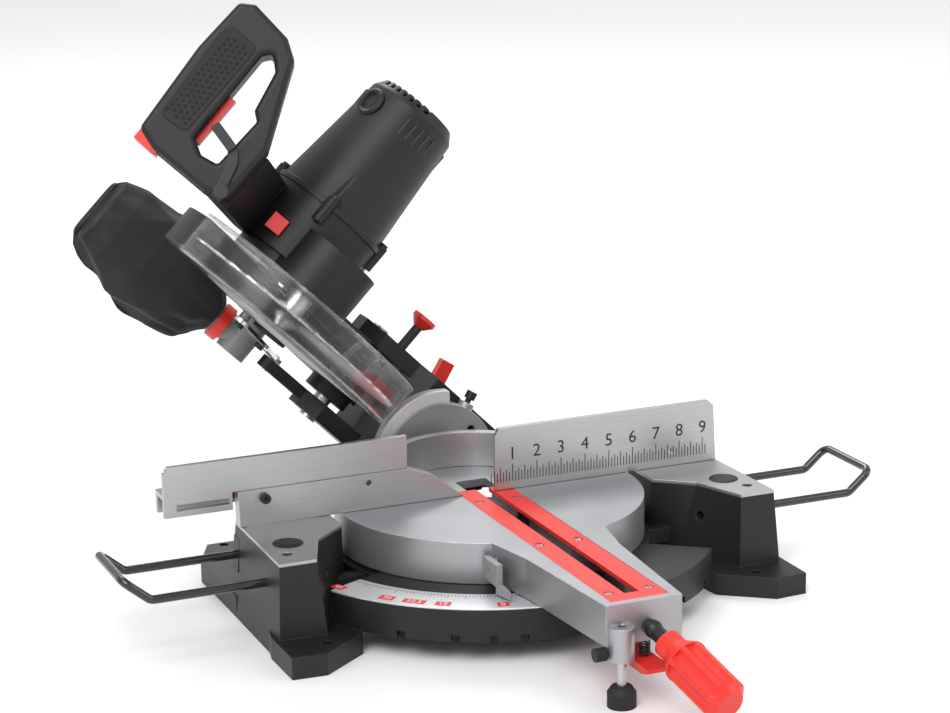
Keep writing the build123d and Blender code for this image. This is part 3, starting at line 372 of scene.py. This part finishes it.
CORNERS = np.array([[x, y, z] for x in (-1, 1) for y in (-1, 1) for z in (-1, 1)], float)
SIDES = [(0, 1, 3, 2), (4, 6, 7, 5), (0, 4, 5, 1), (2, 3, 7, 6), (0, 2, 6, 4), (1, 5, 7, 3)]


def bars(centres, halves, along=(1, 0, 0), up=(0, 0, 1)):
    """Thin printed or moulded bars: corners at the centre plus or minus half sizes, along each bar's own axes."""
    centres = np.atleast_2d(np.asarray(centres, float))
    count = len(centres)
    halves = np.broadcast_to(np.asarray(halves, float), (count, 3))
    a = np.broadcast_to(np.asarray(along, float), (count, 3))
    c = np.broadcast_to(np.asarray(up, float), (count, 3))
    b = np.cross(c, a)
    corner = CORNERS[None] * halves[:, None]
    points = centres[:, None] + corner[..., :1] * a[:, None] + corner[..., 1:2] * b[:, None] + corner[...,
                                                                                                      2:] * c[:, None]
    faces = (np.array(SIDES)[None] + 8 * np.arange(count)[:, None, None]).reshape(-1, 4)
    return points.reshape(-1, 3), faces


def dome(radius, height, rings=3, sides=10):
    """A low dome on z: radius r cos t and height h sin t, as rings closed by a small top face."""
    t = np.linspace(0, np.pi / 2 * 0.94, rings)[:, None]
    turn = np.linspace(0, 2 * np.pi, sides, endpoint=False)[None]
    return np.stack([radius * np.cos(t) * np.cos(turn), radius * np.cos(t) * np.sin(turn),
                     height * np.sin(t) + 0 * turn], -1)


def lettering(text, size_mm, thick_mm, where):
    """A number as a thin plate: the plain font's outline, thickened, and its points carried by where()."""
    curve = bpy.data.curves.new("number", "FONT")
    curve.body = text
    curve.size = size_mm
    curve.align_x, curve.align_y = "CENTER", "CENTER"
    curve.extrude = thick_mm / 2
    curve.resolution_u = 3
    holder = bpy.data.objects.new("number", curve)
    bpy.context.scene.collection.objects.link(holder)
    bpy.context.view_layer.update()
    mesh = bpy.data.meshes.new_from_object(holder.evaluated_get(bpy.context.evaluated_depsgraph_get()))
    points = np.zeros(len(mesh.vertices) * 3)
    mesh.vertices.foreach_get("co", points)
    faces = [tuple(f.vertices) for f in mesh.polygons]
    bpy.data.objects.remove(holder)
    bpy.data.meshes.remove(mesh)
    return where(points.reshape(-1, 3)), faces


# ---------------------------------------------------------------- scales
INCH = 25.4
RULE_START_MM, RULE_LOW_MM = 0.5, 97.0


def fence_rule():
    """An inch rule on the right fence: ticks each eighth, longer at halves and inches, with the inch numbers over them."""
    step = np.arange(1, 74)
    tall = np.where(step % 8 == 0, 17.0, np.where(step % 4 == 0, 14.0, np.where(step % 2 == 0, 12.0, 9.5)))
    x = RULE_START_MM + step * INCH / 8
    centres = np.stack([x, 0 * x - 0.05, RULE_LOW_MM + tall / 2], -1)
    halves = np.stack([0 * x + .4, 0 * x + .08, tall / 2], -1) / 1000
    parts = [bars(flat(centres), halves)]
    for inch in range(1, 10):
        middle = np.array([RULE_START_MM + inch * INCH, -0.05, RULE_LOW_MM + 27.0])
        parts.append(lettering(str(inch), 17.5, .16, lambda p,
                               m=middle: flat(m + np.stack([p[:, 0], -p[:, 2], p[:, 1]], -1))))
    return merge(parts)


piece("fence_rule", fence_rule(), "base", "black_steel", INK, smooth=False)
SCALE_TOP_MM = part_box("mitre_scale")[1].z * 1000
MITRE_MARKS = {0: "0", 15: "15", 22.5: "22.5", 30: "30", 45: "45"}
POINTER_TURN = 20.0       # the scale's zero lies this far left of the arm, where the pointer reads it


def scale_axes(degree):
    """Outward and sideways directions on the mitre scale at an angle from straight ahead."""
    turn = math.radians(-90 - POINTER_TURN - degree)
    return np.array([math.cos(turn), math.sin(turn), 0.]), np.array([-math.sin(turn), math.cos(turn), 0.])


def mitre_ticks():
    """Radial ticks each degree: centre at axis + r outward, longer at fives."""
    degree = np.arange(-28, 47)
    turn = np.radians(-90.0 - POINTER_TURN - degree)
    outward = np.stack([np.cos(turn), np.sin(turn), 0 * turn], -1)
    long = np.where(degree % 10 == 0, 8.0, np.where(degree % 5 == 0, 6.5, 4.0))
    centres = np.array([0, TURN_Y, SCALE_TOP_MM + .02]) + outward * (180 + long / 2)[:, None]
    return bars(flat(centres), np.stack([long / 2, 0 * long + .25, 0 * long + .06], -1) / 1000, outward)


def scale_tags(thick_mm, letters):
    """A tag or its number by each detent of the mitre scale, readable from the front."""
    parts = []
    for degree, text in MITRE_MARKS.items():
        outward, sideways = scale_axes(degree)
        middle = np.array([0, TURN_Y, SCALE_TOP_MM + .1]) + outward * 203
        if letters:
            parts.append(lettering(text, 8.5, thick_mm, lambda p, m=middle, o=outward, s=sideways: flat(
                m + p[:, :1] * s - p[:, 1:2] * o + [0, 0, .08] + p[:, 2:] * [0, 0, 1])))
        else:
            wide = 3.6 + 1.7 * len(text)
            parts.append(bars([flat(middle)], np.array([4.8, wide, thick_mm / 2]) / 1000, [outward]))
    return merge(parts)


piece("mitre_ticks", mitre_ticks(), "base", "black_steel", INK, smooth=False)
piece("mitre_tags", scale_tags(.16, False), "base", "red_plastic", TAG_RED, smooth=False)
piece("mitre_numbers", scale_tags(.12, True), "base", "scale_metal", TAG_WHITE, smooth=False)


def badge(side):
    """A plain round cover on the table plate: rings of a shallow stepped profile turned about its middle."""
    r = np.array([0.6, 9, 11.4, 12, 13.6, 14, 14])[::-1, None]
    z = np.array([.55, .6, .6, .3, .55, .3, -.1])[::-1, None]
    turn = np.linspace(0, 2 * np.pi, 48, endpoint=False)[None]
    points = np.stack([side * 221 + r * np.cos(turn), -59 + r * np.sin(turn), TABLE_MM + z + 0 * turn], -1)
    return capped(flat(points))


piece("left_plate_cover", badge(-1), "base", "black_plastic")
piece("right_plate_cover", badge(1), "base", "black_plastic")


# ---------------------------------------------------------------- head details
def guard_rim(x_mm):
    """The moulded bead round the clear guard: a round profile on an arc of constant radius."""
    turn = np.radians(np.linspace(148, 297, 60))
    return tube(lift(around(BLADE, 132.9, turn, x_mm)), .0011, 8)


piece("lower_guard_beads", merge([guard_rim(-17.2), guard_rim(23.0)]), "lower_guard", "clear_plastic")


def guard_window_ribs():
    """Short stiffening ribs on the clear guard's left wall, one each 8 degrees, set along the radius."""
    turn = np.radians(np.arange(270, 296, 8.0))
    outward = lift(around(BLADE, 1.0, turn, 0.0)) - lift(around(BLADE, 0.0, turn, 0.0))
    outward /= np.linalg.norm(outward, axis=1, keepdims=True)
    across = lift([1.0, 0, 0]) - lift([0.0, 0, 0])
    return bars(lift(around(BLADE, 96.0, turn, -18.1)), np.array([22, .7, .5]) / 1000, outward,
                across / np.linalg.norm(across))


piece("lower_guard_ribs", guard_window_ribs(), "lower_guard", "clear_plastic", smooth=False)


def grip_dots():
    """Rows of low domes over the rubber pad, every second row shifted by half a step."""
    parts = []
    base = dome(1.7, .9)
    for row in range(5):
        for column in range(15):
            x, u = 68 + column * 5.8 + (row % 2) * 2.9, 168 + row * 5.0
            if x < 156:
                parts.append(capped(grip(base + [x, u, 18.7]), flip=False))
    return merge(parts)


piece("grip_dots", grip_dots(), "head", "rubber")
HEAD_X = lift([1.0, 0, 0]) - lift([0.0, 0, 0])
HEAD_X /= np.linalg.norm(HEAD_X)


def case_slots():
    """Slots round the motor housing near its end: bars along the axis, every 10 degrees in four banks."""
    turn = np.radians(np.concatenate([np.arange(a, a + 41, 10.0) for a in (25, 115, 205, 295)]))
    outward = lift(around(MOTOR, 1.0, turn, 0.0)) - lift(around(MOTOR, 0.0, turn, 0.0))
    outward /= np.linalg.norm(outward, axis=1, keepdims=True)
    return bars(lift(around(MOTOR, 47.3, turn, 203.0)), np.array([10, 1.2, 1.1]) / 1000, HEAD_X, outward)


piece("housing_slots", case_slots(), "head", "carbon", smooth=False)


def cap_ring():
    """A stepped ring round each brush cap: rings of a small profile turned about the cap's radial line."""
    parts = []
    r = np.array([9.5, 9.5, 12.5, 14.5, 14.5])[:, None]
    h = np.array([-1.5, .9, 1.1, .3, -3.0])[:, None]
    for side in (1, -1):
        turn = np.linspace(0, 2 * np.pi, 40, endpoint=False)[None]
        across = np.array([0, -side * math.sin(BRUSH_TURN), side * math.cos(BRUSH_TURN)])
        outward = np.array([0, side * math.cos(BRUSH_TURN), side * math.sin(BRUSH_TURN)])
        middle = np.array([BRUSH_X, *MOTOR]) + outward * BRUSH_OUT
        points = middle + (r * np.cos(turn))[..., None] * [1, 0, 0] + (r * np.sin(turn))[...,
                                                                                         None] * across + (
            h + 0 * turn)[..., None] * outward
        parts.append((lift(points).reshape(-1, 3), grid_faces(5, 40, round_rows=True, round_columns=True)))
    return merge(parts)


def link_strip():
    """The black strip let into the guard link's outer face, along the line between its pivots."""
    turn = math.radians(142.73)
    direction = np.array([math.cos(turn), math.sin(turn)])
    middle = np.array([181.5, 179.7]) + direction * 96
    along = lean([0, *direction]) - lean([0.0, 0, 0])
    across = lean([-1.0, 0, 0]) - lean([0.0, 0, 0])
    return bars([lean([-31.5, *middle])], np.array([60, 2.3, .4]) / 1000, [along / np.linalg.norm(along)],
                [across / np.linalg.norm(across)])


piece("brush_cap_rings", cap_ring(), "head", "black_plastic")
piece("guard_link_strip", link_strip(), "guard_link", "black_steel", smooth=False)

# ---------------------------------------------------------------- dust bag
BAG_LINE = (BAG_TOP - BAG_MOUTH) / np.linalg.norm(BAG_TOP - BAG_MOUTH)
BAG_SIDE = np.array([-BAG_LINE[1], BAG_LINE[0]])
BAG_REACH = np.array([33, 40, 52, 80, 120, 160, 182, 190.0])
BAG_WIDE = np.array([16.5, 24, 42, 51, 52, 47, 38, 28.0])
BAG_DEEP = np.array([16.5, 20, 29, 36, 38, 31, 20, 6.0])


def bag_points(rows=110, columns=160):
    """The bag: ovals whose half widths run smoothly along its line, with pleats at the neck and sagging folds.
    A point at reach s and turn a stands at width w(s) cos a and depth d(s) sin a, both scaled by one plus its folds."""
    s = np.linspace(0, 1, rows)[:, None]
    a = np.linspace(0, 2 * np.pi, columns, endpoint=False)[None]
    reach = BAG_REACH[0] + s * (BAG_REACH[-1] - BAG_REACH[0])
    wide, deep = (np.interp(reach, BAG_REACH, values) for values in (BAG_WIDE, BAG_DEEP))
    neck = np.exp(-((s - .16) / .13) ** 2)
    tail = np.exp(-((s - .92) / .16) ** 2)
    body = np.sin(np.pi * s)
    folds = .06 * neck * np.cos(13 * a + 1.1 * np.sin(2 * a)) + .035 * tail * np.cos(9 * a + 4 * s)
    crease = 1 - 2 * np.abs(np.sin(2.5 * a + 6 * s + 1.4 * np.sin(a + 3 * s)))
    folds = folds + .05 * crease * body + .03 * (1 - 2 * np.abs(np.sin(4 * a - 7 * s + .8 * np.sin(2 * a)))) * body
    folds = folds + .04 * np.sin(2 * a + 5 * s) * body
    corner = 1 + .09 * np.sin(2 * a) ** 2 * np.sin(np.pi * np.clip(s * 1.15, 0, 1))
    x = BAG_X + reach * .03 + wide * np.cos(a) * (1 + folds) * corner
    depth = deep * np.sin(a) * (1 + folds) * corner
    yz = BAG_MOUTH + reach[..., None] * BAG_LINE + depth[..., None] * BAG_SIDE
    return np.concatenate([x[..., None], yz], -1)


def puff(cloth, cap):
    """Cloth with a little pressure inside for 20 steps; no point moves further than the cap."""
    before = np.zeros(len(cloth.data.vertices) * 3)
    cloth.data.vertices.foreach_get("co", before)
    modifier = cloth.modifiers.new("cloth", "CLOTH")
    settings = modifier.settings
    settings.use_pressure = True
    settings.uniform_pressure_force = 3.0
    settings.effector_weights.gravity = 0
    settings.quality = 5
    settings.tension_stiffness = settings.compression_stiffness = 25
    settings.bending_stiffness = .35
    modifier.collision_settings.use_collision = False
    scene = bpy.context.scene
    for step in range(1, 21):
        scene.frame_set(step)
    moved = cloth.evaluated_get(bpy.context.evaluated_depsgraph_get()).to_mesh()
    after = np.zeros(len(moved.vertices) * 3)
    moved.vertices.foreach_get("co", after)
    cloth.evaluated_get(bpy.context.evaluated_depsgraph_get()).to_mesh_clear()
    cloth.modifiers.remove(modifier)
    scene.frame_set(1)
    before, after = before.reshape(-1, 3), after.reshape(-1, 3)
    gap = after - before
    size = np.linalg.norm(gap, axis=1, keepdims=True)
    gap *= np.minimum(1, cap / np.maximum(size, 1e-9))
    cloth.data.vertices.foreach_set("co", (before + gap).ravel())
    cloth.data.update()


bag = piece("dust_bag_cloth", capped(lift(bag_points())), None, "fabric")
puff(bag, .005)
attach(bag, "head")
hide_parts("dust_bag")


def bag_seam(sign):
    """The bound seam down each side of the bag: a cord on the widest line, just inside the cloth."""
    points = bag_points(60, 4)[4:, 0 if sign > 0 else 2]
    return tube(lift(points + [sign * .4, 0, 0]), .0016, 8)


def bag_slide():
    """The plastic slide that shuts the bag's far end: a flat oval bar across it."""
    end = np.array([BAG_X + BAG_REACH[-1] * .03, *(BAG_MOUTH + BAG_LINE * (BAG_REACH[-1] - 1))])
    turn = np.linspace(0, 2 * np.pi, 24, endpoint=False)[None]
    x = np.linspace(-31, 31, 20)[:, None]
    swell = np.sqrt(np.clip(1 - (x / 32) ** 8, .05, 1))
    yz = end[1:] + (6.2 * swell * np.cos(turn))[..., None] * BAG_SIDE + (3.6 * swell * np.sin(turn))[...,
                                                                                                     None] * BAG_LINE
    return capped(lift(np.concatenate([(end[0] + x + 0 * turn)[..., None], yz], -1)))


piece("dust_bag_seams", merge([bag_seam(1), bag_seam(-1)]), "head", "fabric")
piece("dust_bag_slide", bag_slide(), "head", "black_plastic")

# ---------------------------------------------------------------- stage, light and camera
FLOOR = bpy.data.materials.new("pale_floor")
FLOOR.use_nodes = True
FLOOR.node_tree.nodes["Principled BSDF"].inputs["Base Color"].default_value = (.82, .82, .82, 1)
FLOOR.node_tree.nodes["Principled BSDF"].inputs["Roughness"].default_value = .7
ground = bpy.data.meshes.new("floor")
ground.from_pydata([(-9, -9, 0), (9, -9, 0), (9, 9, 0), (-9, 9, 0)], [], [(0, 1, 2, 3)])
ground.materials.append(FLOOR)
floor = bpy.data.objects.new("floor", ground)
bpy.context.scene.collection.objects.link(floor)


sun = bpy.data.lights.new("sky_glow", "SUN")
sun.energy, sun.angle = 1.1, .9
glow = bpy.data.objects.new("sky_glow", sun)
glow.matrix_world = Matrix.Rotation(math.radians(-24), 4, "Y") @ Matrix.Rotation(math.radians(22), 4, "X")
bpy.context.scene.collection.objects.link(glow)


def lamp(name, at, watts, size):
    light = bpy.data.lights.new(name, "AREA")
    light.energy = watts
    light.size = size
    made = bpy.data.objects.new(name, light)
    made.matrix_world = Matrix.Translation(at) @ (Vector((0, 0, .25)) - Vector(at)).to_track_quat("-Z",
                                                                                                  "Y").to_matrix().to_4x4()
    bpy.context.scene.collection.objects.link(made)


lamp("key", (-1.9, -2.4, 2.9), 55, 1.8)
lamp("fill", (2.6, -1.9, 1.9), 26, 2.0)
lamp("back", (.5, 2.3, 2.6), 45, 1.6)
world = bpy.data.worlds.new("studio")
world.use_nodes = True
world.node_tree.nodes["Background"].inputs["Color"].default_value = (.97, .98, 1, 1)
world.node_tree.nodes["Background"].inputs["Strength"].default_value = .72
bpy.context.scene.world = world
bpy.context.scene.view_settings.view_transform = "Standard"

camera = bpy.data.cameras.new("camera")
camera.sensor_width, camera.lens = 36, 99.35
camera.shift_x, camera.shift_y = -.0096, -.0058
viewer = bpy.data.objects.new("camera", camera)
turned = Matrix(((.91799, .11272, -.38024), (-.39634, .22625, -.88979), (-.01427, .96752, .25237))).to_4x4()
viewer.matrix_world = Matrix.Translation((-.93369, -2.19088, .84652)) @ turned
bpy.context.scene.collection.objects.link(viewer)
bpy.context.scene.camera = viewer
